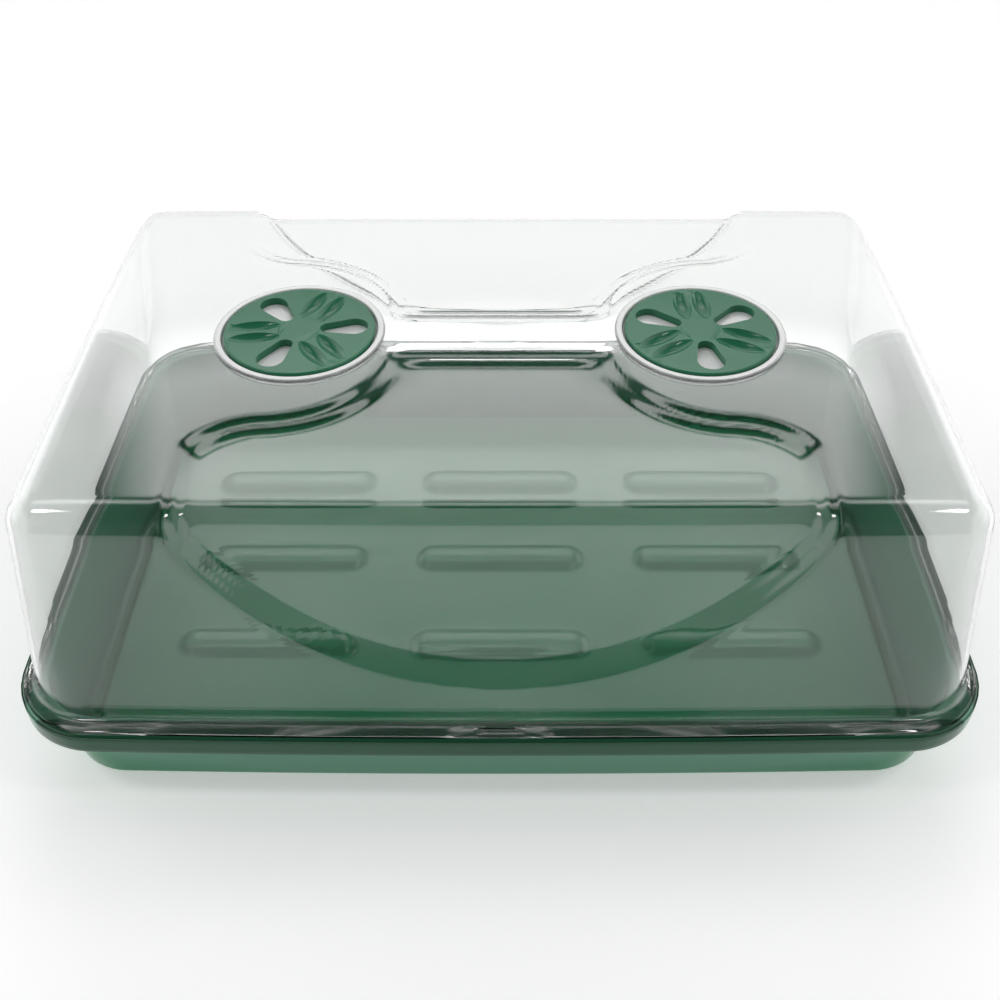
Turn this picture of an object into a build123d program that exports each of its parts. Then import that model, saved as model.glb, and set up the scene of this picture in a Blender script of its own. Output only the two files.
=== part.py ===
from build123d import *
import math
import os

# A seed propagator: a moulded tray, a clear lift-off dome and two rotary vent discs.
# Millimetres. The origin is the centre of the tray's underside, X runs along the long sides,
# the front is -Y and +Z is up.

# Overall sizes
RIM_LENGTH = 580.0
RIM_WIDTH = 404.0
LEDGE_HEIGHT = 66.0          # the rim's ledge, which carries the dome
DOME_HEIGHT = 210.0          # the dome's top face, with the tray standing on the floor

# How far each side bows out between its corners
LONG_SIDE_BOW = 4.5
SHORT_SIDE_BOW = 3.0

# Tray
TRAY_WALL = 2.2
TRAY_DRAFT = 6.0
RIM_CORNER = 50.0
RIM_LAND_X = 13.0            # rim edge to cavity, short sides
RIM_LAND_Y = 17.5            # rim edge to cavity, long sides
CAVITY_CORNER = 36.0
SKIRT_DROP = 14.0
RIM_EDGE_RADIUS = 5.0
LIP_WIDTH = 2.4              # low lip around the ledge, which keeps the dome in place
LIP_RISE = 1.6
BASE_EDGE_RADIUS = 6.0
FOOT_WIDTH = 10.0            # the ring that the tray stands on
FLOOR_RAISE = 11.0
FLOOR_CORNER = 27.0
FLOOR_EDGE_RADIUS = 4.0

# Floor ribs
RIB_GAP = 33.0               # between the ends of two ribs
RIB_END_MARGIN = 41.0        # floor's edge to the end of the outer ribs
RIB_SIDE_MARGIN = 71.5       # floor's edge to the side of the outer ribs
RIB_WIDTH = 28.0
RIB_RISE = 5.0
RIB_SLOPE = 35.0

# Dome
DOME_WALL = 2.0
DOME_DRAFT = 7.9
DOME_CORNER = 38.0
DOME_SEAT_CLEARANCE = 0.6    # flange edge to the tray's lip
FLANGE_WIDTH_X = 6.0
FLANGE_WIDTH_Y = 10.0
FOLD_RADIUS = 14.0
PANEL_FOLD_RADIUS = 7.0
PAD_LENGTH = 33.0
PAD_RISE = 1.2
PAD_MARGIN = 8.5             # dome's corner to the nearest pad
PAD_EDGE = 1.2               # flange's edge to a pad

# Sunk panel, front and back, as its step runs over the top and down the long side
PANEL_DEPTH = 5.0
PANEL_INSET = 9.0
PANEL_SIDE_INSET = 1.0       # keeps the ends of the two bodies apart
PANEL_HALF_WIDTH = 176.0
PANEL_INNER_EDGE = 23.5      # from the middle of the dome to the straight part of the step
SWEEP_MARGIN = 24.4          # vent's collar to the step around it
SWEEP_OFFSET_X = 15.5        # vent's axis to the centre of the step's sweep
SWEEP_OFFSET_Y = 12.0
SWEEP_BLEND_RADIUS = 15.0
SHOULDER_RADIUS = 45.0
SMILE_FOOT = 33.0            # ledge to the lowest point of the step
SMILE_DROP = 2.5             # dome's top to where the round foot meets the straight sides
SMILE_BLEND_RADIUS = 24.0

# Vents
VENT_SPACING = 247.0
VENT_RADIUS = 46.5
VENT_SIDE_CLEARANCE = 1.6
VENT_FACE_CLEARANCE = 0.2
VENT_THICKNESS = 4.8
VENT_EDGE_RADIUS = 1.0
SEAT_DEPTH = 3.0
COLLAR_WIDTH = 4.5
COLLAR_RISE = 1.5
OPENINGS = 3
OPENING_INNER_RADIUS = 5.0
OPENING_OUTER_RADIUS = 8.5
OPENING_START = 12.5
OPENING_MARGIN = 4.4
LEAF_HALF_WIDTH = 5.4
LEAF_DEPTH = 3.2
LEAF_RIDGE = 1.6             # between the two hollows of a grip
LEAF_START = 11.5
LEAF_MARGIN = 3.2            # disc's edge to the outer end of a grip
LEFT_VENT_ANGLE = 6.0
RIGHT_VENT_ANGLE = 34.0
STUD_RADIUS = 6.0
STUD_CLEARANCE = 0.05
STUD_BORE_RADIUS = 3.2
BARB_REACH = 1.0
BARB_HEIGHT = 3.6
STUD_SLOT = 2.0

OVERCUT = 10.0               # how far cutting solids reach past a face
EMBED = 1.0                  # how far joined solids reach into each other

rim_x = RIM_LENGTH / 2
rim_y = RIM_WIDTH / 2
cavity_x = rim_x - RIM_LAND_X
cavity_y = rim_y - RIM_LAND_Y
lip_top = LEDGE_HEIGHT + LIP_RISE
skirt_foot = lip_top - SKIRT_DROP
flange_x = rim_x - LIP_WIDTH - DOME_SEAT_CLEARANCE
flange_y = rim_y - LIP_WIDTH - DOME_SEAT_CLEARANCE
flange_corner = RIM_CORNER - LIP_WIDTH - DOME_SEAT_CLEARANCE
dome_x = flange_x - FLANGE_WIDTH_X
dome_y = flange_y - FLANGE_WIDTH_Y
vent_x = VENT_SPACING / 2
seat_radius = VENT_RADIUS + VENT_SIDE_CLEARANCE
seat_top = DOME_HEIGHT - SEAT_DEPTH
seat_foot = seat_top - DOME_WALL
vent_foot = seat_top + VENT_FACE_CLEARANCE
vent_top = vent_foot + VENT_THICKNESS
collar_radius = seat_radius + COLLAR_WIDTH


def bowed_outline(half_x, half_y, corner, z):
    """A rounded rectangle whose sides bow out a little, level at height z."""
    x, y = half_x - SHORT_SIDE_BOW, half_y - LONG_SIDE_BOW
    sides = Curve() + [
        ThreePointArc((-x, -y), (0, -half_y), (x, -y)),
        ThreePointArc((x, -y), (half_x, 0), (x, y)),
        ThreePointArc((x, y), (0, half_y), (-x, y)),
        ThreePointArc((-x, y), (-half_x, 0), (-x, -y)),
    ]
    face = make_face(sides)
    return Pos(0, 0, z) * fillet(face.vertices(), corner)


def block(half_x, half_y, corner, low, high, taper=0.0):
    """A bowed block from low to high, its sides leaning in by taper degrees as they rise."""
    return extrude(bowed_outline(half_x, half_y, corner, low), high - low, taper=taper)


def lean(height, draft):
    """How far a drafted side moves in over a height."""
    return height * math.tan(math.radians(draft))


def edges_at(part, z):
    """The edges that lie level at height z."""
    return part.edges().filter_by(lambda e: abs(e.bounding_box().min.Z - z) < 1e-3
                                  and abs(e.bounding_box().max.Z - z) < 1e-3)


def obround_pad(length, width, low, high, slope):
    """A long pad with round ends and sloping sides."""
    return extrude(Pos(0, 0, low) * SlotOverall(length, width), high - low, taper=slope)


def rib_pitch(reach, margin, size):
    """The spacing of the ribs, so that the outer ones end a margin short of the floor's edge."""
    return reach - margin - size / 2


def floor_rise(inset, drop):
    """The raised floor and its ribs: the upper face, or with an inset and drop the under face."""
    foot = lean(LEDGE_HEIGHT, TRAY_DRAFT) + FOOT_WIDTH
    floor_x = cavity_x - foot
    floor_y = cavity_y - foot
    low = TRAY_WALL - drop
    floor = low + FLOOR_RAISE
    rise = block(floor_x - inset, floor_y - inset, FLOOR_CORNER - inset,
                 low - OVERCUT, floor, TRAY_DRAFT)
    rise = fillet(edges_at(rise, floor), FLOOR_EDGE_RADIUS)
    rib_length = (2 * floor_x - 2 * RIB_END_MARGIN - 2 * RIB_GAP) / 3
    pitch_x = rib_pitch(floor_x, RIB_END_MARGIN, rib_length)
    pitch_y = rib_pitch(floor_y, RIB_SIDE_MARGIN, RIB_WIDTH)
    pad = obround_pad(rib_length - 2 * inset, RIB_WIDTH - 2 * inset, floor - EMBED,
                      floor + RIB_RISE, RIB_SLOPE)
    for i in (-1, 0, 1):
        for j in (-1, 0, 1):
            rise += Pos(i * pitch_x, j * pitch_y, 0) * pad
    return rise


def make_tray():
    """The tray: a drafted basin with a raised, ribbed floor and a wide rim with a skirt."""
    foot_x = cavity_x + TRAY_WALL - lean(LEDGE_HEIGHT, TRAY_DRAFT)
    foot_y = cavity_y + TRAY_WALL - lean(LEDGE_HEIGHT, TRAY_DRAFT)
    basin = block(foot_x, foot_y, CAVITY_CORNER + TRAY_WALL, 0.0, LEDGE_HEIGHT, -TRAY_DRAFT)
    basin = fillet(edges_at(basin, 0.0), BASE_EDGE_RADIUS)

    rim = block(rim_x, rim_y, RIM_CORNER, skirt_foot, lip_top)
    rim = fillet(edges_at(rim, lip_top), RIM_EDGE_RADIUS)
    rim -= block(rim_x - LIP_WIDTH, rim_y - LIP_WIDTH, RIM_CORNER - LIP_WIDTH,
                 LEDGE_HEIGHT, lip_top + OVERCUT)
    under = block(rim_x - TRAY_WALL, rim_y - TRAY_WALL, RIM_CORNER - TRAY_WALL,
                  skirt_foot - OVERCUT, LEDGE_HEIGHT - TRAY_WALL)
    rim -= fillet(edges_at(under, LEDGE_HEIGHT - TRAY_WALL), RIM_EDGE_RADIUS - LIP_RISE)

    cavity_foot_x = cavity_x - lean(LEDGE_HEIGHT - TRAY_WALL, TRAY_DRAFT)
    cavity_foot_y = cavity_y - lean(LEDGE_HEIGHT - TRAY_WALL, TRAY_DRAFT)
    cavity = block(cavity_foot_x, cavity_foot_y, CAVITY_CORNER, TRAY_WALL,
                   LEDGE_HEIGHT + OVERCUT, -TRAY_DRAFT)
    cavity = fillet(edges_at(cavity, TRAY_WALL), BASE_EDGE_RADIUS - TRAY_WALL)
    cavity -= floor_rise(0.0, 0.0)
    return rim + basin - cavity - floor_rise(TRAY_WALL, TRAY_WALL)


def on_circle(centre, radius, degrees):
    """A point on a circle."""
    turn = math.radians(degrees)
    return (centre[0] + radius * math.cos(turn), centre[1] + radius * math.sin(turn))


def panel_plan(grow):
    """The sunk front panel's outline seen from above, open past the front of the dome.

    A straight step in the middle, a sweep around the vent, and a round shoulder to the side.
    """
    sweep = collar_radius + SWEEP_MARGIN
    sweep_centre = (vent_x + SWEEP_OFFSET_X, -SWEEP_OFFSET_Y)
    shoulder_x = PANEL_HALF_WIDTH - SHOULDER_RADIUS
    across = sweep_centre[0] - shoulder_x
    down = math.sqrt((sweep + SHOULDER_RADIUS) ** 2 - across ** 2)
    shoulder_centre = (shoulder_x, sweep_centre[1] - down)
    meet = math.degrees(math.atan2(-down, -across)) % 360
    small, big = sweep - grow, SHOULDER_RADIUS + grow
    inner = grow - PANEL_INNER_EDGE
    rise = inner - sweep_centre[1]
    turn = (180 - math.degrees(math.asin(rise / small))) % 360
    start = on_circle(sweep_centre, small, turn)
    middle = on_circle(sweep_centre, small, (turn + meet) / 2)
    joint = on_circle(sweep_centre, small, meet)
    bend = on_circle(shoulder_centre, big, (meet - 180) / 2)
    side = on_circle(shoulder_centre, big, 0)
    front = -(dome_y + 4 * OVERCUT)
    half = Curve() + [
        Line((0, inner), start),
        ThreePointArc(start, middle, joint),
        ThreePointArc(joint, bend, side),
        Line(side, (side[0], front)),
        Line((side[0], front), (0, front)),
    ]
    face = make_face(half + mirror(half, about=Plane.YZ))
    corners = [v for v in face.vertices() if math.dist((abs(v.X), v.Y), start) < 0.01]
    return fillet(corners, SWEEP_BLEND_RADIUS + grow)


def panel_front(grow):
    """The sunk panel's outline seen from the front: straight sides over a wide round foot."""
    foot = LEDGE_HEIGHT + SMILE_FOOT
    rise = DOME_HEIGHT - SMILE_DROP - foot
    smile = (rise ** 2 + PANEL_HALF_WIDTH ** 2) / (2 * rise)
    half = PANEL_HALF_WIDTH + grow
    radius = smile + grow
    centre = foot + smile
    side = centre - math.sqrt(radius ** 2 - half ** 2)
    top = DOME_HEIGHT + 4 * OVERCUT
    outline = Curve() + [
        ThreePointArc((-half, side), (0, centre - radius), (half, side)),
        Line((half, side), (half, top)),
        Line((half, top), (-half, top)),
        Line((-half, top), (-half, side)),
    ]
    face = make_face(outline)
    corners = [v for v in face.vertices() if abs(v.Y - side) < 0.01]
    return fillet(corners, SMILE_BLEND_RADIUS + grow)


def panel_tool(grow):
    """The space of the front panel: above its foot, outside its step."""
    from_above = extrude(panel_plan(grow), DOME_HEIGHT + 4 * OVERCUT)
    depth = dome_y + 4 * OVERCUT
    from_front = extrude(Plane.XZ * panel_front(grow), depth)
    return from_above & from_front


def dome_body(inset):
    """The dome's outer form, or with an inset the hollow inside it."""
    low = LEDGE_HEIGHT
    high = DOME_HEIGHT - inset
    fold = FOLD_RADIUS - inset
    body = block(dome_x - inset, dome_y - inset, DOME_CORNER - inset, low, high, DOME_DRAFT)
    body = fillet(edges_at(body, high), fold)
    front = panel_tool(inset)
    body = body - front - mirror(front, about=Plane.XZ)
    sunk_high = high - PANEL_DEPTH
    sunk = block(dome_x - inset - PANEL_SIDE_INSET, dome_y - inset - PANEL_INSET,
                 DOME_CORNER - inset, low, sunk_high, DOME_DRAFT)
    sunk = fillet(edges_at(sunk, sunk_high), PANEL_FOLD_RADIUS - inset)
    return body + sunk


def teardrop(angle):
    """One vent opening's outline, its narrow end towards the centre."""
    near = OPENING_START + OPENING_INNER_RADIUS
    far = VENT_RADIUS - OPENING_MARGIN - OPENING_OUTER_RADIUS
    ends = Sketch() + [
        Pos(near, 0) * Circle(OPENING_INNER_RADIUS),
        Pos(far, 0) * Circle(OPENING_OUTER_RADIUS),
    ]
    return Rot(0, 0, angle) * make_hull(ends.edges())


def openings(angle, low, high):
    """The ring of vent openings as cutting solids."""
    step = 360 / OPENINGS
    return [extrude(Pos(0, 0, low) * teardrop(angle + k * step), high - low) for k in range(OPENINGS)]


def upright(radius, low, high):
    """An upright cylinder between two heights."""
    return Pos(0, 0, low) * Cylinder(radius, high - low, align=(Align.CENTER, Align.CENTER, Align.MIN))


def vent_seat(angle):
    """One vent's seat as the solid to add and the solids to cut, about its own centre."""
    collar_top = DOME_HEIGHT + COLLAR_RISE
    collar = upright(collar_radius, DOME_HEIGHT - DOME_WALL, collar_top)
    collar = fillet(edges_at(collar, collar_top), COLLAR_RISE)
    cup = upright(seat_radius + DOME_WALL, seat_foot, DOME_HEIGHT)
    pocket = upright(seat_radius, seat_top, collar_top + OVERCUT)
    low, high = seat_foot - EMBED, seat_top + EMBED
    hub_hole = upright(STUD_RADIUS, low, high)
    return collar + cup, [pocket, hub_hole] + openings(angle, low, high)


def flange_pads():
    """Low pads on the flange: one by each corner on the short sides, three on each long side."""
    height = DOME_WALL + PAD_RISE
    middle = LEDGE_HEIGHT + height / 2
    end_x = dome_x - DOME_CORNER - PAD_MARGIN - PAD_LENGTH / 2
    end_y = dome_y - DOME_CORNER - PAD_MARGIN - PAD_LENGTH / 2
    short_pad = Box(4 * FLANGE_WIDTH_X, PAD_LENGTH, height)
    long_pad = Box(PAD_LENGTH, 4 * FLANGE_WIDTH_Y, height)
    pads = [Pos(i * flange_x, y, middle) * short_pad for i in (-1, 1) for y in (-end_y, end_y)]
    pads += [Pos(x, j * flange_y, middle) * long_pad for j in (-1, 1) for x in (-end_x, 0, end_x)]
    return pads


def make_dome():
    """The dome: a drafted clear shell with sunk panels, a flange and two vent seats."""
    flange = block(flange_x, flange_y, flange_corner, LEDGE_HEIGHT, LEDGE_HEIGHT + DOME_WALL)
    reach = block(flange_x - PAD_EDGE, flange_y - PAD_EDGE, flange_corner - PAD_EDGE,
                  LEDGE_HEIGHT, LEDGE_HEIGHT + 4 * DOME_WALL)
    dome = dome_body(0.0) + flange
    for pad in flange_pads():
        dome += pad & reach
    dome -= dome_body(DOME_WALL)
    seat_angle = LEFT_VENT_ANGLE + 180 / OPENINGS
    for side, angle in ((-1, seat_angle), (1, 180 - seat_angle)):
        add, cuts = vent_seat(angle)
        dome += Pos(side * vent_x, 0, 0) * add
        for cut in cuts:
            dome -= Pos(side * vent_x, 0, 0) * cut
    return dome


def leaf_hollow(offset, angle):
    """One leaf-shaped hollow in a vent disc's face, beside a grip's ridge."""
    start = LEAF_START
    end = VENT_RADIUS - LEAF_MARGIN
    lift = (LEAF_HALF_WIDTH ** 2 - LEAF_DEPTH ** 2) / (2 * LEAF_DEPTH)
    arc = ThreePointArc((start, lift), ((start + end) / 2, lift + LEAF_DEPTH), (end, lift))
    ends = [Line((end, lift), (end, 0)), Line((end, 0), (start, 0)), Line((start, 0), (start, lift))]
    lens = revolve(make_face(Curve() + [arc] + ends), axis=Axis.X)
    return Rot(0, 0, angle) * Pos(0, offset, vent_top + lift) * lens


def make_vent(side, angle):
    """A vent disc: three openings, three leaf grips and a split stud that snaps into the seat."""
    disc = upright(VENT_RADIUS, vent_foot, vent_top)
    disc = fillet(edges_at(disc, vent_top), VENT_EDGE_RADIUS)
    for cut in openings(0, vent_foot - EMBED, vent_top + EMBED):
        disc -= cut
    offset = LEAF_HALF_WIDTH + LEAF_RIDGE / 2
    for k in range(OPENINGS):
        grip = (k + 0.5) * 360 / OPENINGS
        disc -= leaf_hollow(offset, grip)
        disc -= leaf_hollow(-offset, grip)
    barb_top = seat_foot - VENT_FACE_CLEARANCE
    barb_foot = barb_top - BARB_HEIGHT
    barb_middle = barb_top - BARB_HEIGHT / 2
    shank = upright(STUD_RADIUS - STUD_CLEARANCE, barb_middle, vent_foot + EMBED)
    barb = Pos(0, 0, barb_middle) * Cone(STUD_RADIUS - BARB_REACH, STUD_RADIUS + BARB_REACH, BARB_HEIGHT)
    slot_height = 2 * (barb_top - barb_foot)
    slot = Pos(0, 0, barb_top + EMBED - slot_height / 2) * Box(STUD_SLOT, 4 * STUD_RADIUS, slot_height)
    bore = upright(STUD_BORE_RADIUS, barb_foot - EMBED, vent_foot + EMBED)
    return Pos(side * vent_x, 0, 0) * Rot(0, 0, angle) * (disc + shank + barb - slot - bore)


def write(name, part):
    """One STEP file for one piece."""
    part.label = name
    export_step(part, "parts/" + name + ".step")
    size = part.bounding_box().size
    print(name, "%.1f x %.1f x %.1f mm, %.1f cm3" % (size.X, size.Y, size.Z, part.volume / 1000))


os.makedirs("parts", exist_ok=True)
write("tray", make_tray())
write("dome", make_dome())
write("vent_left", make_vent(-1, LEFT_VENT_ANGLE))
write("vent_right", make_vent(1, RIGHT_VENT_ANGLE))
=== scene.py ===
import math

import bmesh
import bpy
from bpy.props import FloatProperty, FloatVectorProperty, PointerProperty
from mathutils import Matrix, Vector


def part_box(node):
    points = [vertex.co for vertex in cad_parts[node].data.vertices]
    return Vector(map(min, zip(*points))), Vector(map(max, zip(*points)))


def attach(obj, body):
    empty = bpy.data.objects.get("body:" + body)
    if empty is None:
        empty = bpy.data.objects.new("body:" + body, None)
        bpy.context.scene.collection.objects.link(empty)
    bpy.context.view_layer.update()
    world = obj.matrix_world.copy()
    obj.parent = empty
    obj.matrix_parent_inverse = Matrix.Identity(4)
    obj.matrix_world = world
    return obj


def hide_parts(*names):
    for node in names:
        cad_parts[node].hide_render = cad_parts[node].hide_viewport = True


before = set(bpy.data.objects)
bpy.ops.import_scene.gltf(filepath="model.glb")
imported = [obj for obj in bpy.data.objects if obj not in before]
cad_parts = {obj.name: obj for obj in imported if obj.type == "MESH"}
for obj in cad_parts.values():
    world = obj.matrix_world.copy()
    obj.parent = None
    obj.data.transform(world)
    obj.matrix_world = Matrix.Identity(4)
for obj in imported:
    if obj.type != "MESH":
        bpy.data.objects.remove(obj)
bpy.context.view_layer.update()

bl_info = {
    "name": "Humidity Dome Tray",
    "version": (1, 0, 0),
    "blender": (4, 5, 0),
    "location": "View3D > Sidebar > Propagator",
    "description": "Builds the tray, clear dome and rotary vents of a seed propagator around its CAD frame",
    "category": "Object",
}

MM = 0.001
_, TRAY_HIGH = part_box("tray")
DOME_LOW, DOME_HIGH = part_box("dome")
VENT_LOW, VENT_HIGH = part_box("vent_left")
RIM_X, RIM_Y = TRAY_HIGH.x, TRAY_HIGH.y
LEDGE = DOME_LOW.z
FLANGE_X, FLANGE_Y = DOME_HIGH.x, DOME_HIGH.y
VENT_X = -(VENT_LOW.x + VENT_HIGH.x) / 2

# The tray's floor inside its walls, its rim, the raised plateau with its ribs, and the half sizes
# of the basin whose floor and walls are painted paler, painted light for what reaches them under the dome.
FLOOR_X, FLOOR_Y, FLOOR_CORNER = 270.3 * MM, 177.8 * MM, 36 * MM
TRAY_DRAFT = math.radians(6.0)
RIM_CORNER = 50 * MM
SKIRT = 13.2 * MM
BASIN = (279 * MM, 186.5 * MM)
PLATEAU_X, PLATEAU_Y, PLATEAU_CORNER = 259.5 * MM, 167 * MM, 27 * MM
RIB_PITCH_X, RIB_PITCH_Y = 157 * MM, 82 * MM
RIB_HALF_LENGTH, RIB_HALF_WIDTH = 62 * MM, 14 * MM

# The dome's flat top, its flange's pads, the outline of its sunk panels and its vent seats.
DOME_DRAFT = math.radians(7.9)
DOME_TOP = DOME_HIGH.z - 1.5 * MM
FLANGE_CORNER = 47 * MM
PAD_HALF_LENGTH, PAD_MARGIN, PAD_HEIGHT = 16.5 * MM, 27 * MM, 1.2 * MM
PANEL_HALF, PANEL_INNER = 176 * MM, 23.5 * MM
SWEEP_X, SWEEP_Y, SWEEP_RADIUS = VENT_X + 15.5 * MM, 12 * MM, 77 * MM
SHOULDER_RADIUS = 45 * MM
SMILE_FOOT, SMILE_DROP = LEDGE + 33 * MM, 2.5 * MM
TOP_BAND, SIDE_BAND = 16 * MM, 12 * MM
SEAT_RADIUS, SEAT_DEPTH, COLLAR, STUD_HOLE = 48.1 * MM, 3 * MM, 4.5 * MM, 6 * MM


# ---------------------------------------------------------------- settings


class TraySettings(bpy.types.PropertyGroup):
    """Sizes and colour of the tray"""

    wall: FloatProperty(
        name="Wall", description="Thickness of the moulded tray", default=2.2 * MM, unit="LENGTH")
    floor_raise: FloatProperty(
        name="Floor raise", description="Floor's height over the ring it stands on",
        default=11.0 * MM, unit="LENGTH")
    rib_rise: FloatProperty(
        name="Rib rise", description="Height of the floor's ribs", default=4.0 * MM, unit="LENGTH")
    colour: FloatVectorProperty(
        name="Colour", description="Moulded plastic of the tray", subtype="COLOR", size=3,
        min=0.0, max=1.0, default=(0.009, 0.072, 0.032))


class DomeSettings(bpy.types.PropertyGroup):
    """Sizes and colour of the clear dome"""

    wall: FloatProperty(
        name="Wall", description="Thickness of the clear sheet", default=2.0 * MM, unit="LENGTH")
    fold: FloatProperty(
        name="Fold", description="Radius between top and walls", default=17.0 * MM, unit="LENGTH")
    panel_fold: FloatProperty(
        name="Panel fold", description="Radius between top and wall inside a sunk panel",
        default=10.0 * MM, unit="LENGTH")
    panel_depth: FloatProperty(
        name="Panel depth", description="How far the panels are sunk in the top",
        default=5.0 * MM, unit="LENGTH")
    panel_inset: FloatProperty(
        name="Panel inset", description="How far the panels are sunk in the long sides",
        default=9.0 * MM, unit="LENGTH")
    colour: FloatVectorProperty(
        name="Colour", description="Tint of the clear plastic", subtype="COLOR", size=3,
        min=0.0, max=1.0, default=(0.985, 0.992, 0.988))


class VentSettings(bpy.types.PropertyGroup):
    """Colour of the vent discs"""

    colour: FloatVectorProperty(
        name="Colour", description="Moulded plastic of the discs", subtype="COLOR", size=3,
        min=0.0, max=1.0, default=(0.022, 0.165, 0.082))


class StudioSettings(bpy.types.PropertyGroup):
    """The floor, lights and camera"""

    light: FloatProperty(
        name="Light", description="Strength of the soft box behind the object", default=3.4)
    lens: FloatProperty(
        name="Lens", description="Focal length of the camera", default=41.29 * MM, unit="LENGTH")
    height: FloatProperty(
        name="Height", description="Camera's height over the floor", default=0.6085, unit="LENGTH")
    distance: FloatProperty(
        name="Distance", description="Camera's distance in front of the tray's middle",
        default=0.5936, unit="LENGTH")
    pitch: FloatProperty(
        name="Pitch", description="How far the camera looks down", default=math.radians(41.83),
        subtype="ANGLE")
    shift: FloatProperty(
        name="Shift", description="Camera's vertical shift, as a share of the picture", default=-0.0077)


# ---------------------------------------------------------------- shaders


class Field:
    """A shader socket that arithmetic can be written with."""

    def __init__(self, nodes, socket):
        self.nodes, self.socket = nodes, socket

    def _math(self, operation, *values):
        return self.nodes.add("ShaderNodeMath", {"operation": operation}, dict(enumerate(values)))

    def __add__(self, other):
        return self._math("ADD", self, other)

    def __mul__(self, other):
        return self._math("MULTIPLY", self, other)

    def larger(self, other):
        return self._math("MAXIMUM", self, other)

    __radd__ = __add__
    __rmul__ = __mul__


class Nodes:
    """The node tree of a new material or world, with one method that adds any node."""

    def __init__(self, name, owners=None):
        self.owner = (bpy.data.materials if owners is None else owners).new(name)
        self.owner.use_nodes = True
        self.tree = self.owner.node_tree
        self.tree.nodes.clear()

    def add(self, kind, settings=None, inputs=None, output=0):
        """Adds a node, sets it up, fills its sockets and returns one of its outputs."""
        node = self.tree.nodes.new(kind)
        for key, value in (settings or {}).items():
            if key == "stops":
                self._stops(node.color_ramp, value)
            else:
                setattr(node, key, value)
        for key, value in (inputs or {}).items():
            if isinstance(value, Field):
                self.tree.links.new(value.socket, node.inputs[key])
            else:
                node.inputs[key].default_value = value
        return Field(self, node.outputs[output])

    @staticmethod
    def _stops(ramp, stops):
        while len(ramp.elements) < len(stops):
            ramp.elements.new(1.0)
        for element, (place, value) in zip(ramp.elements, stops):
            element.position = place
            element.color = (value, value, value, 1.0)

    def place(self, scale=(1.0, 1.0, 1.0), middle=(0.0, 0.0, 0.0)):
        """Object coordinates, centred and scaled."""
        where = self.add("ShaderNodeTexCoord", output="Object")
        offset = tuple(-m * s for m, s in zip(middle, scale))
        return self.add("ShaderNodeMapping", None, {"Vector": where, "Location": offset, "Scale": scale})

    def noise(self, vector, scale, detail=3.0):
        """Noise from 0 to 1."""
        return self.add("ShaderNodeTexNoise", None, {"Vector": vector, "Scale": scale, "Detail": detail})

    def ramp(self, value, stops):
        """A value remapped by stops of (place, value)."""
        return self.add("ShaderNodeValToRGB", {"stops": stops}, {"Fac": value})

    def mix(self, factor, first, second):
        """Two colours mixed."""
        return self.add("ShaderNodeMix", {"data_type": "RGBA"}, {0: factor, 6: first, 7: second}, output=2)

    def bump(self, height, strength, distance):
        """A normal from a height."""
        return self.add("ShaderNodeBump", None,
                        {"Height": height, "Strength": strength, "Distance": distance}, output="Normal")

    def finish(self, surface, kind="ShaderNodeOutputMaterial"):
        """Ends the tree in a surface."""
        node = self.tree.nodes.new(kind)
        self.tree.links.new(surface.socket, node.inputs["Surface"])
        return self.owner


def rgba(colour, gain=1.0):
    """A colour property as four numbers, made lighter or darker."""
    return tuple(min(1.0, c * gain) for c in colour) + (1.0,)


def green_plastic(name, colour, speckle, basin=None):
    """Glossy moulded plastic: a faint flow pattern, soft smears in the gloss and a fine skin.

    Inside the half sizes of a basin the green is painted paler, painted light standing in for the light
    that reaches the floor through the dome, and paler still on the basin's walls, painted as lit through the
    thin sheet.
    """
    n = Nodes(name)
    where = n.place()
    flow = n.noise(n.place((1.0, 3.0, 1.0)), 9.0, 4.0)
    smear = n.ramp(n.noise(where, 26.0, 5.0), [(0.35, 0.0), (0.75, 1.0)])
    skin = n.noise(where, speckle, 2.0)
    tint = n.mix(flow, rgba(colour, 0.88), rgba(colour, 1.15))
    if basin:
        share = n.place((1.0 / basin[0], 1.0 / basin[1], 0.0))
        share = n.add("ShaderNodeVectorMath", {"operation": "ABSOLUTE"}, {0: share}, output="Vector")
        far_x = n.add("ShaderNodeSeparateXYZ", None, {"Vector": share}, output="X")
        far_y = n.add("ShaderNodeSeparateXYZ", None, {"Vector": share}, output="Y")
        far = far_x.larger(far_y)
        # painted light: the basin's floor is drawn 2.7 to 3.1 times paler and its walls a fixed light green,
        # for light under the dome
        painted_light_floor = n.mix(flow, rgba(colour, 2.7), rgba(colour, 3.1))
        painted_light_wall = (0.09, 0.26, 0.17, 1.0)
        painted_light_basin = n.mix(n.ramp(far, [(0.955, 0.0), (0.965, 1.0)]), painted_light_floor, painted_light_wall)
        tint = n.mix(n.ramp(far, [(0.992, 0.0), (1.0, 1.0)]), painted_light_basin, tint)
    return n.finish(n.add("ShaderNodeBsdfPrincipled", None, {
        "Base Color": tint,
        "Roughness": smear * 0.08 + 0.16,
        "IOR": 1.5,
        "Specular IOR Level": 0.35,
        "Normal": n.bump(skin, 0.12, 0.2 * MM),
    }))


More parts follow.
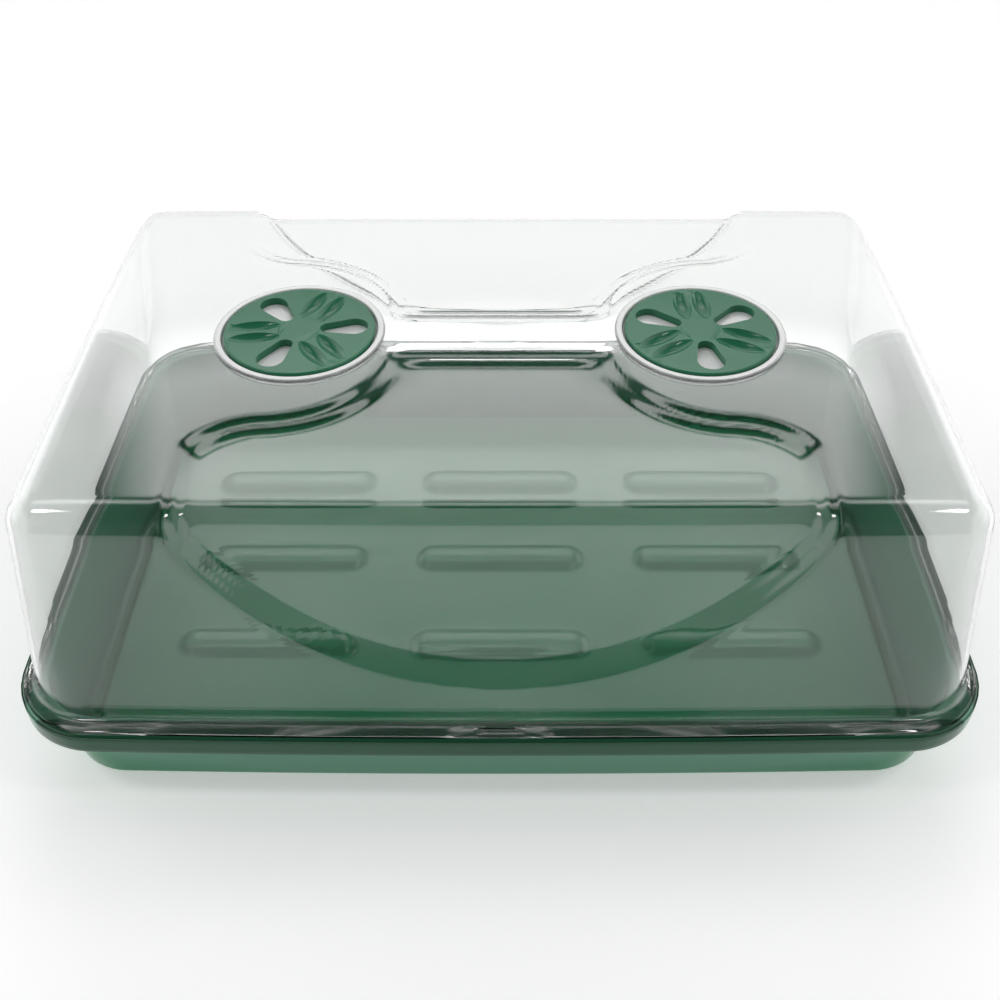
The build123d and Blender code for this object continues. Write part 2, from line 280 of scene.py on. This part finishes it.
def clear_plastic(name, colour, seats, seat_radius):
    """Crystal clear sheet, slightly uneven from forming, drawn milky white in the vent seats as a painted
    reflection of the soft box on the collars.
    """
    n = Nodes(name)
    wave = n.noise(n.place((1.0, 1.0, 0.6)), 14.0, 1.0)
    smear = n.ramp(n.noise(n.place(), 18.0, 4.0), [(0.55, 0.0), (0.95, 1.0)])
    clear = n.add("ShaderNodeBsdfPrincipled", None, {
        "Base Color": rgba(colour),
        "Roughness": smear * 0.02,
        "IOR": 1.49,
        "Transmission Weight": 1.0,
        "Normal": n.bump(wave, 0.006, 1.0 * MM),
    })
    # painted reflection: the vent seats are drawn milky white to stand in for the soft box's glare on the
    # collars
    painted_glare = n.add("ShaderNodeBsdfPrincipled", None, {
        "Base Color": rgba(colour, 0.95),
        "Roughness": smear * 0.1 + 0.15,
        "IOR": 1.47,
    })
    painted_glare_mask = 0.0
    for x in seats:
        away = n.place((1.0 / seat_radius, 1.0 / seat_radius, 0.0), (x, 0.0, 0.0))
        reach = n.add("ShaderNodeVectorMath", {"operation": "LENGTH"}, {0: away}, output="Value")
        painted_glare_mask = n.ramp(reach, [(0.97, 1.0), (1.0, 0.0)]) + painted_glare_mask
    return n.finish(n.add("ShaderNodeMixShader", None, {0: painted_glare_mask * 0.9, 1: clear, 2: painted_glare}))


# ---------------------------------------------------------------- shapes


def clamp(value, low, high):
    return max(low, min(high, value))


def lerp(a, b, share):
    return a + (b - a) * share


def smooth(value):
    """Eases from 0 to 1."""
    value = clamp(value, 0.0, 1.0)
    return value * value * (3.0 - 2.0 * value)


def stops(*legs):
    """Places along half an axis, from 0 outwards: each leg is (where it ends, largest step)."""
    places, start = [0.0], 0.0
    for end, step in legs:
        count = max(1, math.ceil((end - start) / step - 1e-6))
        places += [start + (end - start) * k / count for k in range(1, count + 1)]
        start = end
    return places


def both_ways(places):
    """Places from 0 outwards, mirrored to the negative side."""
    return [-p for p in reversed(places[1:])] + places


def bowed(x, y):
    """Moves a point in from the rim's largest size, so that all sides bow out between their corners."""
    long_bow, short_bow = 4.5 * MM, 3.0 * MM
    return (x * (1 - short_bow / RIM_X * (y / RIM_Y) ** 2),
            y * (1 - long_bow / RIM_Y * (x / RIM_X) ** 2))


def plan_point(x, y, half_x, half_y, corner):
    """Moves a point of a sharp rectangle into one with round corners.

    Returns the point, the direction straight out of the nearest side and the distance to it.
    """
    qx = clamp(x, corner - half_x, half_x - corner)
    qy = clamp(y, corner - half_y, half_y - corner)
    dx, dy = x - qx, y - qy
    if abs(dx) > 1e-9 and abs(dy) > 1e-9:
        reach = max(abs(dx), abs(dy))
        out = Vector((dx, dy)).normalized()
        return Vector((qx, qy)) + out * reach, out, corner - reach
    if half_x - abs(x) < half_y - abs(y):
        return Vector((x, y)), Vector((math.copysign(1.0, x), 0.0)), half_x - abs(x)
    return Vector((x, y)), Vector((0.0, math.copysign(1.0, y))), half_y - abs(y)


class RoundBox:
    """A drafted box with round corners and a round fold, from its top face down its walls."""

    def __init__(self, half_x, half_y, top, corner, fold, draft):
        self.half_x, self.half_y, self.top = half_x, half_y, top
        self.corner, self.fold, self.draft = corner, fold, math.tan(draft)

    def at(self, x, y, depth):
        """The point for a place on the sharp top face, or at a depth below its edge, and its way out."""
        flat, out, edge = plan_point(x, y, self.half_x, self.half_y, self.corner)
        across, up = max(0.0, self.fold - edge), max(0.0, self.fold - depth)
        z = self.top - depth
        if across > 0.0 and up > 0.0:
            size = self.fold / math.hypot(across, up)
            flat = flat + out * (across * size - across)
            z = self.top - self.fold + up * size
        flat = flat + out * (self.top - z) * self.draft
        return Vector((flat.x, flat.y, z)), out


def formed_skin(name, xs, ys, grid_at, rows, row_at):
    """An open skin: a grid of xs by ys, with rows of faces grown from its border.

    grid_at(x, y) places a grid point, and row_at(row, x, y) a point of a row.
    """
    bm = bmesh.new()
    nx, ny = len(xs) - 1, len(ys) - 1
    bmesh.ops.create_grid(bm, x_segments=nx, y_segments=ny, size=1.0)
    sharp_x = bm.verts.layers.float.new("sharp_x")
    sharp_y = bm.verts.layers.float.new("sharp_y")
    for v in bm.verts:
        x = xs[round((v.co.x + 1.0) / 2.0 * nx)]
        y = ys[round((v.co.y + 1.0) / 2.0 * ny)]
        v[sharp_x], v[sharp_y] = x, y
        v.co = grid_at(x, y)
    border = [e for e in bm.edges if e.is_boundary]
    for row in rows:
        grown = bmesh.ops.extrude_edge_only(bm, edges=border)["geom"]
        fresh = {v for v in grown if isinstance(v, bmesh.types.BMVert)}
        for v in fresh:
            v.co = row_at(row, v[sharp_x], v[sharp_y])
        border = [e for e in grown if isinstance(e, bmesh.types.BMEdge)
                  and e.verts[0] in fresh and e.verts[1] in fresh]
    mesh = bpy.data.meshes.new(name)
    bm.to_mesh(mesh)
    bm.free()
    return add_object(name, mesh)


def add_object(name, mesh):
    piece = bpy.data.objects.new(name, mesh)
    bpy.context.scene.collection.objects.link(piece)
    return piece


def thicken(piece, wall, even=True):
    """Gives an open skin its wall, on the side away from its normals."""
    solid = piece.modifiers.new("wall", "SOLIDIFY")
    solid.thickness = wall
    solid.offset = -1.0
    solid.use_even_offset = even
    solid.use_quality_normals = True


def relax(piece, low, steps):
    """Evens out the points above a height."""
    above = piece.vertex_groups.new(name="above")
    above.add([v.index for v in piece.data.vertices if v.co.z > low], 1.0, "REPLACE")
    even = piece.modifiers.new("relax", "SMOOTH")
    even.vertex_group = above.name
    even.factor = 0.5
    even.iterations = steps


def cut(piece, tool, operation):
    """A boolean with another object, which is removed once the modifiers are applied."""
    boolean = piece.modifiers.new(tool.name, "BOOLEAN")
    boolean.operation = operation
    boolean.solver = "EXACT"
    boolean.object = tool


def smooth_faces(mesh, sharp):
    """Smooth shading, but for edges past an angle."""
    mesh.polygons.foreach_set("use_smooth", [True] * len(mesh.polygons))
    mesh.set_sharp_from_angle(angle=sharp)


def settle(piece, tools=(), sharp=math.radians(38)):
    """Applies the modifiers, removes the tools and smooths the faces up to an angle."""
    graph = bpy.context.evaluated_depsgraph_get()
    mesh = bpy.data.meshes.new_from_object(piece.evaluated_get(graph))
    piece.modifiers.clear()
    piece.data = mesh
    for tool in tools:
        bpy.data.objects.remove(tool)
    smooth_faces(mesh, sharp)


def soften(piece, width):
    """A small round on every crisp edge."""
    bevel = piece.modifiers.new("edge", "BEVEL")
    bevel.width = width
    bevel.segments = 2
    bevel.limit_method = "ANGLE"
    bevel.angle_limit = math.radians(50)


def spun(name, profile, centre_x, steps=128):
    """A closed ring turned from a profile of (radius, height) about an upright axis."""
    bm = bmesh.new()
    verts = [bm.verts.new((centre_x + r, 0.0, z)) for r, z in profile]
    edges = [bm.edges.new((a, b)) for a, b in zip(verts, verts[1:] + verts[:1])]
    bmesh.ops.spin(bm, geom=verts + edges, cent=(centre_x, 0.0, 0.0), axis=(0.0, 0.0, 1.0),
                   angle=math.tau, steps=steps, use_merge=True)
    bmesh.ops.remove_doubles(bm, verts=bm.verts, dist=1e-6)
    bmesh.ops.recalc_face_normals(bm, faces=bm.faces)
    mesh = bpy.data.meshes.new(name)
    bm.to_mesh(mesh)
    bm.free()
    return add_object(name, mesh)


def plug(name, centre_x, radius, low, high):
    """An upright cylinder for cutting."""
    bm = bmesh.new()
    at = Matrix.Translation((centre_x, 0.0, (low + high) / 2))
    bmesh.ops.create_cone(bm, cap_ends=True, segments=128, radius1=radius, radius2=radius,
                          depth=high - low, matrix=at)
    mesh = bpy.data.meshes.new(name)
    bm.to_mesh(mesh)
    bm.free()
    return add_object(name, mesh)


def teardrop_plug(name, centre_x, angle, low, high):
    """A vent opening as an upright cutter, its narrow end towards the disc's centre."""
    near, near_radius = 17.5 * MM, 5.0 * MM
    far, far_radius = 33.6 * MM, 8.5 * MM
    lean = math.asin((far_radius - near_radius) / (far - near))
    bm = bmesh.new()
    bmesh.ops.create_circle(bm, cap_ends=True, segments=48, radius=1.0)
    for v in bm.verts:
        turn = math.atan2(v.co.y, v.co.x)
        outer = abs(turn) < math.pi / 2 + lean
        middle, radius = (far, far_radius) if outer else (near, near_radius)
        v.co = (middle + radius * math.cos(turn), radius * math.sin(turn), low)
    column = bmesh.ops.extrude_face_region(bm, geom=bm.faces)["geom"]
    tops = [v for v in column if isinstance(v, bmesh.types.BMVert)]
    bmesh.ops.translate(bm, verts=tops, vec=(0.0, 0.0, high - low))
    bmesh.ops.recalc_face_normals(bm, faces=bm.faces)
    at = Matrix.Translation((centre_x, 0.0, 0.0)) @ Matrix.Rotation(angle, 4, "Z")
    bmesh.ops.transform(bm, matrix=at, verts=bm.verts)
    mesh = bpy.data.meshes.new(name)
    bm.to_mesh(mesh)
    bm.free()
    return add_object(name, mesh)


# ---------------------------------------------------------------- the tray


def rounded_distance(x, y, half_x, half_y, corner):
    """How far a point is outside a rectangle with round corners, negative inside."""
    qx, qy = abs(x) - half_x + corner, abs(y) - half_y + corner
    return math.hypot(max(qx, 0.0), max(qy, 0.0)) + min(max(qx, qy), 0.0) - corner


def floor_height(x, y, raise_by, rib_rise):
    """The floor over its standing ring: a raised plateau with three by three long ribs."""
    plateau_slope, rib_slope = 6 * MM, 8 * MM
    plateau = rounded_distance(x, y, PLATEAU_X, PLATEAU_Y, PLATEAU_CORNER)
    height = raise_by * smooth(0.5 - plateau / plateau_slope)
    rib_x = x - RIB_PITCH_X * clamp(round(x / RIB_PITCH_X), -1, 1)
    rib_y = y - RIB_PITCH_Y * clamp(round(y / RIB_PITCH_Y), -1, 1)
    rib = rounded_distance(rib_x, rib_y, RIB_HALF_LENGTH, RIB_HALF_WIDTH, RIB_HALF_WIDTH)
    return height + rib_rise * smooth(-rib / rib_slope)


def make_tray(settings):
    """The tray's skin, from the floor over the rim to the skirt's foot, and its wall."""
    floor = settings.wall
    foot, edge = 3.8 * MM, 3.2 * MM
    cavity = RoundBox(FLOOR_X, FLOOR_Y, 0.0, FLOOR_CORNER, foot, TRAY_DRAFT)
    ledge = LEDGE - 0.25 * MM
    depth = ledge - floor
    lip, outer, skirt_foot = 2.4 * MM, 5.0 * MM, TRAY_HIGH.z - SKIRT
    arc_middle = TRAY_HIGH.z + 0.73 * MM - outer

    def tray_point(x, y, down):
        where, out = cavity.at(x, y, down)
        where.z = floor - where.z
        return where, out

    def grid_at(x, y):
        where, _ = tray_point(x, y, 0.0)
        where.z += floor_height(where.x, where.y, settings.floor_raise, settings.rib_rise)
        return Vector((*bowed(where.x, where.y), where.z))

    def row_at(row, x, y):
        kind, value, height = row
        if kind == "wall":
            where, _ = tray_point(x, y, value)
        elif kind == "edge":
            where, out = tray_point(x, y, depth - edge)
            where += Vector((*out, 0.0)) * edge * (1 - math.cos(value))
            where.z = ledge - edge + edge * math.sin(value)
        else:
            half_x, half_y = RIM_X - value, RIM_Y - value
            flat, _, _ = plan_point(x / cavity.half_x * half_x, y / cavity.half_y * half_y,
                                    half_x, half_y, RIM_CORNER - value)
            where = Vector((flat.x, flat.y, height))
        return Vector((*bowed(where.x, where.y), where.z))

    rows = [("wall", d, 0.0) for d in (1.0 * MM, 2.0 * MM, 3.0 * MM, foot)]
    rows += [("wall", foot + (depth - edge - foot) * k / 8, 0.0) for k in range(1, 9)]
    rows += [("edge", math.pi / 2 * k / 6, 0.0) for k in range(1, 7)]
    rows += [("rim", 8 * MM, ledge), ("rim", 5 * MM, ledge), ("rim", 3.2 * MM, ledge),
             ("rim", lip + 0.3 * MM, LEDGE + 0.12 * MM), ("rim", lip + 0.1 * MM, LEDGE + 0.5 * MM)]
    start = math.asin((outer - lip) / outer)
    for k in range(9):
        turn = start + (math.pi / 2 - start) * k / 8
        rows.append(("rim", outer * (1 - math.sin(turn)), arc_middle + outer * math.cos(turn)))
    rows += [("rim", 0.0, arc_middle + (skirt_foot - arc_middle) * k / 3) for k in (1, 2, 3)]

    xs = both_ways(stops((45 * MM, 6 * MM), (66 * MM, 1.5 * MM), (91 * MM, 5 * MM), (112 * MM, 1.5 * MM),
                         (202 * MM, 6 * MM), (223 * MM, 1.5 * MM), (255 * MM, 4 * MM),
                         (264 * MM, 1.3 * MM), (266.5 * MM, 1.3 * MM), (FLOOR_X, 0.95 * MM)))
    ys = both_ways(stops((6 * MM, 6 * MM), (15 * MM, 1.6 * MM), (67 * MM, 9 * MM), (76 * MM, 1.6 * MM),
                         (88 * MM, 6 * MM), (97 * MM, 1.6 * MM), (162 * MM, 9 * MM),
                         (171.5 * MM, 1.3 * MM), (174.0 * MM, 1.3 * MM), (FLOOR_Y, 0.95 * MM)))
    piece = formed_skin("tray_shell", xs, ys, grid_at, rows, row_at)
    thicken(piece, settings.wall)
    soften(piece, 0.4 * MM)
    settle(piece)
    piece.data.materials.append(green_plastic("tray green", settings.colour, 900.0, BASIN))
    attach(piece, "tray")
    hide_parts("tray")


# ---------------------------------------------------------------- the dome


def blend_max(a, b, radius):
    """The larger of two distances, with a round inner corner."""
    h = clamp(0.5 + 0.5 * (a - b) / radius, 0.0, 1.0)
    return b + (a - b) * h + radius * h * (1.0 - h)


def step_share(across):
    """How deep the step is part way across it: two steep drops with a narrow rest between them."""
    return 0.5 * smooth(across / 0.45) + 0.5 * smooth((across - 0.55) / 0.45)


def panel_plan(x, y):
    """How far a point of the top is outside the sunk panels, seen from above.

    Beside a straight middle part the edge sweeps around the vent, then turns over a round shoulder.
    """
    x, y = abs(x), abs(y)
    both = SWEEP_RADIUS + SHOULDER_RADIUS
    shoulder_x = PANEL_HALF - SHOULDER_RADIUS
    shoulder_y = SWEEP_Y + math.sqrt(both ** 2 - (SWEEP_X - shoulder_x) ** 2)
    joint = lerp(SWEEP_X, shoulder_x, SWEEP_RADIUS / both)
    if x > joint:
        if y > shoulder_y:
            return x - PANEL_HALF
        return math.hypot(max(0.0, x - shoulder_x), y - shoulder_y) - SHOULDER_RADIUS
    sweep = SWEEP_RADIUS - math.hypot(x - SWEEP_X, y - SWEEP_Y)
    return blend_max(PANEL_INNER - y, sweep, 12 * MM)


def panel_front(x, z):
    """How far a point of a long side is outside the sunk panels, seen from the front."""
    rise = DOME_TOP - SMILE_DROP - SMILE_FOOT
    radius = (rise ** 2 + PANEL_HALF ** 2) / (2 * rise)
    smile = math.hypot(x, min(0.0, z - SMILE_FOOT - radius)) - radius
    return blend_max(smile, abs(x) - PANEL_HALF, 20 * MM)


def make_dome(settings):
    """The dome: one clear shell with its sunk panels, flange, pads and vent seats."""
    top = DOME_TOP
    lean = (top - LEDGE) * math.tan(DOME_DRAFT)
    half_x, half_y = FLANGE_X - 6 * MM - lean, FLANGE_Y - 10 * MM - lean
    corner = 38 * MM - lean
    body = RoundBox(half_x, half_y, top, corner, settings.fold, DOME_DRAFT)
    sunk = RoundBox(half_x, half_y - settings.panel_inset, top - settings.panel_depth, corner,
                    settings.panel_fold, DOME_DRAFT)
    flange_top = LEDGE + settings.wall
    root = 3.5 * MM
    wall_depth = top - flange_top - root
    ease = 60 * MM

    def dome_point(x, y, depth):
        """A point of the skin: the body's own, or moved towards the sunk body within a panel."""
        where, out = body.at(x, y, depth)
        outside = max(panel_plan(where.x, where.y) / TOP_BAND, panel_front(where.x, where.z) / SIDE_BAND)
        share = step_share(0.5 - outside)
        if share > 0.0:
            pull = settings.panel_inset * clamp(1 - (half_y - abs(y)) / ease, 0.0, 1.0)
            rise = settings.panel_depth * clamp(depth / ease, 0.0, 1.0)
            inner, _ = sunk.at(x, y - math.copysign(pull, y), depth - rise)
            where = where.lerp(inner, share)
        return where, out

    def grid_at(x, y):
        where, _ = dome_point(x, y, 0.0)
        return Vector((*bowed(where.x, where.y), where.z))

    def pad(x, y):
        """1 on a flange pad, 0 elsewhere."""
        on_long = abs(y) > half_y - 1 * MM
        along, reach = (abs(x), half_x) if on_long else (abs(y), half_y)
        last = reach - PAD_MARGIN - PAD_HALF_LENGTH
        places = (0.0, last) if on_long else (last,)
        return max(smooth((PAD_HALF_LENGTH - abs(along - p)) / (2.5 * MM) + 0.5) for p in places)

    def row_at(row, x, y):
        kind, value = row
        if kind == "wall":
            where, _ = dome_point(x, y, value)
            return Vector((*bowed(where.x, where.y), where.z))
        where, out = body.at(x, y, wall_depth)
        turn = value if kind == "root" else math.pi / 2
        where += Vector((*out, 0.0)) * root * (1 - math.cos(turn))
        where.z = flange_top + root * (1 - math.sin(turn))
        if kind == "flange":
            flat, _, _ = plan_point(x / half_x * FLANGE_X, y / half_y * FLANGE_Y,
                                    FLANGE_X, FLANGE_Y, FLANGE_CORNER)
            edge = Vector((flat.x, flat.y, flange_top))
            where = where.lerp(edge, value)
            if 0.0 < value < 0.9:
                where.z += PAD_HEIGHT * pad(x, y)
        return Vector((*bowed(where.x, where.y), where.z))

    fold = settings.fold
    panel_foot = top - LEDGE - 24 * MM
    depths = stops((fold, 2.2 * MM), (panel_foot, 3.0 * MM), (wall_depth, 7 * MM))[1:]
    rows = [("wall", d) for d in depths]
    rows += [("root", math.pi / 2 * k / 4) for k in range(1, 5)]
    rows += [("flange", s) for s in (0.15, 0.5, 0.8, 1.0)]
    xs = both_ways(stops((62 * MM, 8 * MM), (190 * MM, 2.4 * MM), (half_x - fold, 20 * MM),
                         (half_x, 2.9 * MM)))
    ys = both_ways(stops((13 * MM, 13 * MM), (98 * MM, 2.2 * MM), (half_y - fold, 3.6 * MM),
                         (half_y, 2.9 * MM)))
    piece = formed_skin("dome_shell", xs, ys, grid_at, rows, row_at)
    relax(piece, LEDGE + 15 * MM, 2)
    thicken(piece, settings.wall, even=False)
    settle(piece, add_seats(piece, settings.wall))
    piece.data.materials.clear()
    seats = (-VENT_X, VENT_X)
    piece.data.materials.append(clear_plastic("dome clear", settings.colour, seats, SEAT_RADIUS + COLLAR))
    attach(piece, "dome")
    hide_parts("dome")


def seat_profile(wall):
    """The (radius, height) outline of a vent seat and its raised collar."""
    seat, rim = SEAT_RADIUS, SEAT_RADIUS + COLLAR
    top, crest = DOME_TOP, DOME_HIGH.z
    low = top - SEAT_DEPTH
    return [
        (STUD_HOLE, low), (seat - 0.8 * MM, low), (seat - 0.2 * MM, low + 0.25 * MM), (seat, low + 0.9 * MM),
        (seat, crest - 0.7 * MM), (seat + 0.25 * MM, crest - 0.2 * MM), (seat + 0.8 * MM, crest),
        (rim - 1.5 * MM, crest), (rim - 0.75 * MM, crest - 0.2 * MM), (rim - 0.2 * MM, crest - 0.75 * MM),
        (rim, top), (rim, top - wall), (seat + wall, top - wall), (seat + wall, low - wall),
        (STUD_HOLE, low - wall),
    ]


def add_seats(piece, wall):
    """Cuts two holes in the dome's top and joins a seat with three openings into each."""
    seat_top = DOME_TOP - SEAT_DEPTH
    seat_foot = seat_top - wall
    hole_radius = SEAT_RADIUS + COLLAR - 0.3 * MM
    profile = seat_profile(wall)
    tools = []
    for side, angle in ((-1, math.radians(66)), (1, math.radians(114))):
        hole = plug("hole%d" % side, side * VENT_X, hole_radius, seat_foot - 2 * MM, DOME_HIGH.z + 2 * MM)
        seat = spun("seat%d" % side, profile, side * VENT_X)
        for k in range(3):
            drop = teardrop_plug("drop%d%d" % (side, k), side * VENT_X, angle + k * math.tau / 3,
                                 seat_foot - 1 * MM, seat_top + 1 * MM)
            cut(seat, drop, "DIFFERENCE")
            tools.append(drop)
        cut(piece, hole, "DIFFERENCE")
        cut(piece, seat, "UNION")
        tools += [hole, seat]
    return tools


# ---------------------------------------------------------------- the vents


def make_vent(node, settings):
    """A vent disc: the CAD solid's own faces, joined up, with flat faces kept flat in shading."""
    sharp = math.radians(14)
    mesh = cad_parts[node].data.copy()
    mesh.name = node + "_disc"
    bm = bmesh.new()
    bm.from_mesh(mesh)
    bmesh.ops.remove_doubles(bm, verts=bm.verts, dist=1e-6)
    bm.to_mesh(mesh)
    bm.free()
    mesh.materials.clear()
    piece = add_object(node + "_disc", mesh)
    smooth_faces(mesh, sharp)
    even = piece.modifiers.new("normals", "WEIGHTED_NORMAL")
    even.keep_sharp = True
    settle(piece, sharp=sharp)
    piece.data.materials.append(green_plastic(node + " green", settings.colour, 1400.0))
    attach(piece, node)
    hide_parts(node)


# ---------------------------------------------------------------- the studio


def area_light(name, at, aim, size, power):
    """A flat lamp at a place, turned to its aim."""
    data = bpy.data.lights.new(name, "AREA")
    data.shape = "RECTANGLE"
    data.size, data.size_y = size
    data.energy = power
    light = bpy.data.objects.new(name, data)
    light.location = at
    light.rotation_euler = (Vector(aim) - Vector(at)).to_track_quat("-Z", "Y").to_euler()
    bpy.context.scene.collection.objects.link(light)


def make_world(settings):
    """Surroundings: a large soft box and a strip behind, bright sides, and a dim ceiling and front."""
    n = Nodes("studio room", bpy.data.worlds)
    where = n.add("ShaderNodeTexCoord", output="Generated")
    across, to_back, to_top = (n.add("ShaderNodeSeparateXYZ", None, {"Vector": where}, output=axis)
                               for axis in "XYZ")
    behind = n.ramp(to_back, [(0.05, 0.0), (0.3, 1.0)])
    narrow = n.ramp(across * across, [(0.08, 1.0), (0.11, 0.0)])
    soft_box = narrow * n.ramp(to_top, [(0.53, 0.0), (0.57, 1.0), (0.71, 1.0), (0.78, 0.0)])
    strip = n.ramp(to_top, [(0.83, 0.0), (0.85, 1.0), (0.91, 1.0), (0.93, 0.0)])
    away = n.ramp(to_back * 0.5 + 0.5, [(0.34, 0.1), (0.46, 1.0)])
    horizon = away * n.ramp(to_top, [(0.50, 1.0), (0.60, 0.0)])
    beside = n.ramp(across * across, [(0.30, 0.0), (0.40, 1.0)]) * n.ramp(to_top, [(0.60, 1.0), (0.72, 0.0)])
    light = behind * (soft_box + strip) * settings.light + horizon + beside * 1.2 + 0.08
    return n.finish(n.add("ShaderNodeBackground", None, {"Strength": light}), "ShaderNodeOutputWorld")


def make_studio(settings):
    """A pale floor, the room, two small lamps and the camera."""
    bm = bmesh.new()
    bmesh.ops.create_grid(bm, x_segments=1, y_segments=1, size=12.0)
    mesh = bpy.data.meshes.new("studio_floor")
    bm.to_mesh(mesh)
    bm.free()
    floor = add_object("studio_floor", mesh)
    n = Nodes("pale floor")
    mesh.materials.append(n.finish(n.add("ShaderNodeBsdfPrincipled", None, {
        "Base Color": (0.93, 0.93, 0.93, 1.0), "Roughness": 0.6, "IOR": 1.2,
        "Emission Color": (1.0, 1.0, 1.0, 1.0), "Emission Strength": 0.33})))

    scene = bpy.context.scene
    scene.world = make_world(settings)
    scene.view_settings.view_transform = "Standard"

    middle = (0.0, 0.0, 0.1)
    for side in (-1, 1):
        area_light("key %+d" % side, (side * 0.9, -0.5, 1.5), middle, (0.2, 0.2), 2.5)

    data = bpy.data.cameras.new("camera")
    data.lens = settings.lens / MM
    data.sensor_width = 36.0
    data.shift_y = settings.shift
    camera = bpy.data.objects.new("camera", data)
    camera.location = (0.0, -settings.distance, settings.height)
    camera.rotation_euler = (math.pi / 2 - settings.pitch, 0.0, 0.0)
    scene.collection.objects.link(camera)
    scene.camera = camera


# ---------------------------------------------------------------- operators


class PROPAGATOR_OT_tray(bpy.types.Operator):
    """Build the green tray with its ribbed floor and wide rim"""

    bl_idname = "propagator.tray"
    bl_label = "Tray"

    def execute(self, context):
        make_tray(context.scene.propagator_tray)
        return {"FINISHED"}


class PROPAGATOR_OT_dome(bpy.types.Operator):
    """Build the clear dome with its sunk panels and vent seats"""

    bl_idname = "propagator.dome"
    bl_label = "Dome"

    def execute(self, context):
        make_dome(context.scene.propagator_dome)
        return {"FINISHED"}


class PROPAGATOR_OT_vents(bpy.types.Operator):
    """Build the two rotary vent discs"""

    bl_idname = "propagator.vents"
    bl_label = "Vents"

    def execute(self, context):
        for node in ("vent_left", "vent_right"):
            make_vent(node, context.scene.propagator_vents)
        return {"FINISHED"}


class PROPAGATOR_OT_studio(bpy.types.Operator):
    """Build the floor, the lights and the camera"""

    bl_idname = "propagator.studio"
    bl_label = "Studio"

    def execute(self, context):
        make_studio(context.scene.propagator_studio)
        return {"FINISHED"}


class PROPAGATOR_PT_panel(bpy.types.Panel):
    """The propagator's operators and settings"""

    bl_idname = "PROPAGATOR_PT_panel"
    bl_label = "Propagator"
    bl_space_type = "VIEW_3D"
    bl_region_type = "UI"
    bl_category = "Propagator"

    def draw(self, context):
        for operator, group in STEPS:
            box = self.layout.box()
            box.operator(operator.bl_idname)
            settings = getattr(context.scene, group)
            for key in settings.__annotations__:
                box.prop(settings, key)


STEPS = (
    (PROPAGATOR_OT_tray, "propagator_tray"),
    (PROPAGATOR_OT_dome, "propagator_dome"),
    (PROPAGATOR_OT_vents, "propagator_vents"),
    (PROPAGATOR_OT_studio, "propagator_studio"),
)
GROUPS = {
    "propagator_tray": TraySettings,
    "propagator_dome": DomeSettings,
    "propagator_vents": VentSettings,
    "propagator_studio": StudioSettings,
}
CLASSES = (*GROUPS.values(), *(operator for operator, _ in STEPS), PROPAGATOR_PT_panel)


def register():
    for cls in CLASSES:
        bpy.utils.register_class(cls)
    for name, cls in GROUPS.items():
        setattr(bpy.types.Scene, name, PointerProperty(type=cls))


def unregister():
    for name in GROUPS:
        delattr(bpy.types.Scene, name)
    for cls in reversed(CLASSES):
        bpy.utils.unregister_class(cls)


def main():
    register()
    bpy.ops.propagator.tray()
    bpy.ops.propagator.dome()
    bpy.ops.propagator.vents()
    bpy.ops.propagator.studio()


if __name__ == "__main__":
    main()
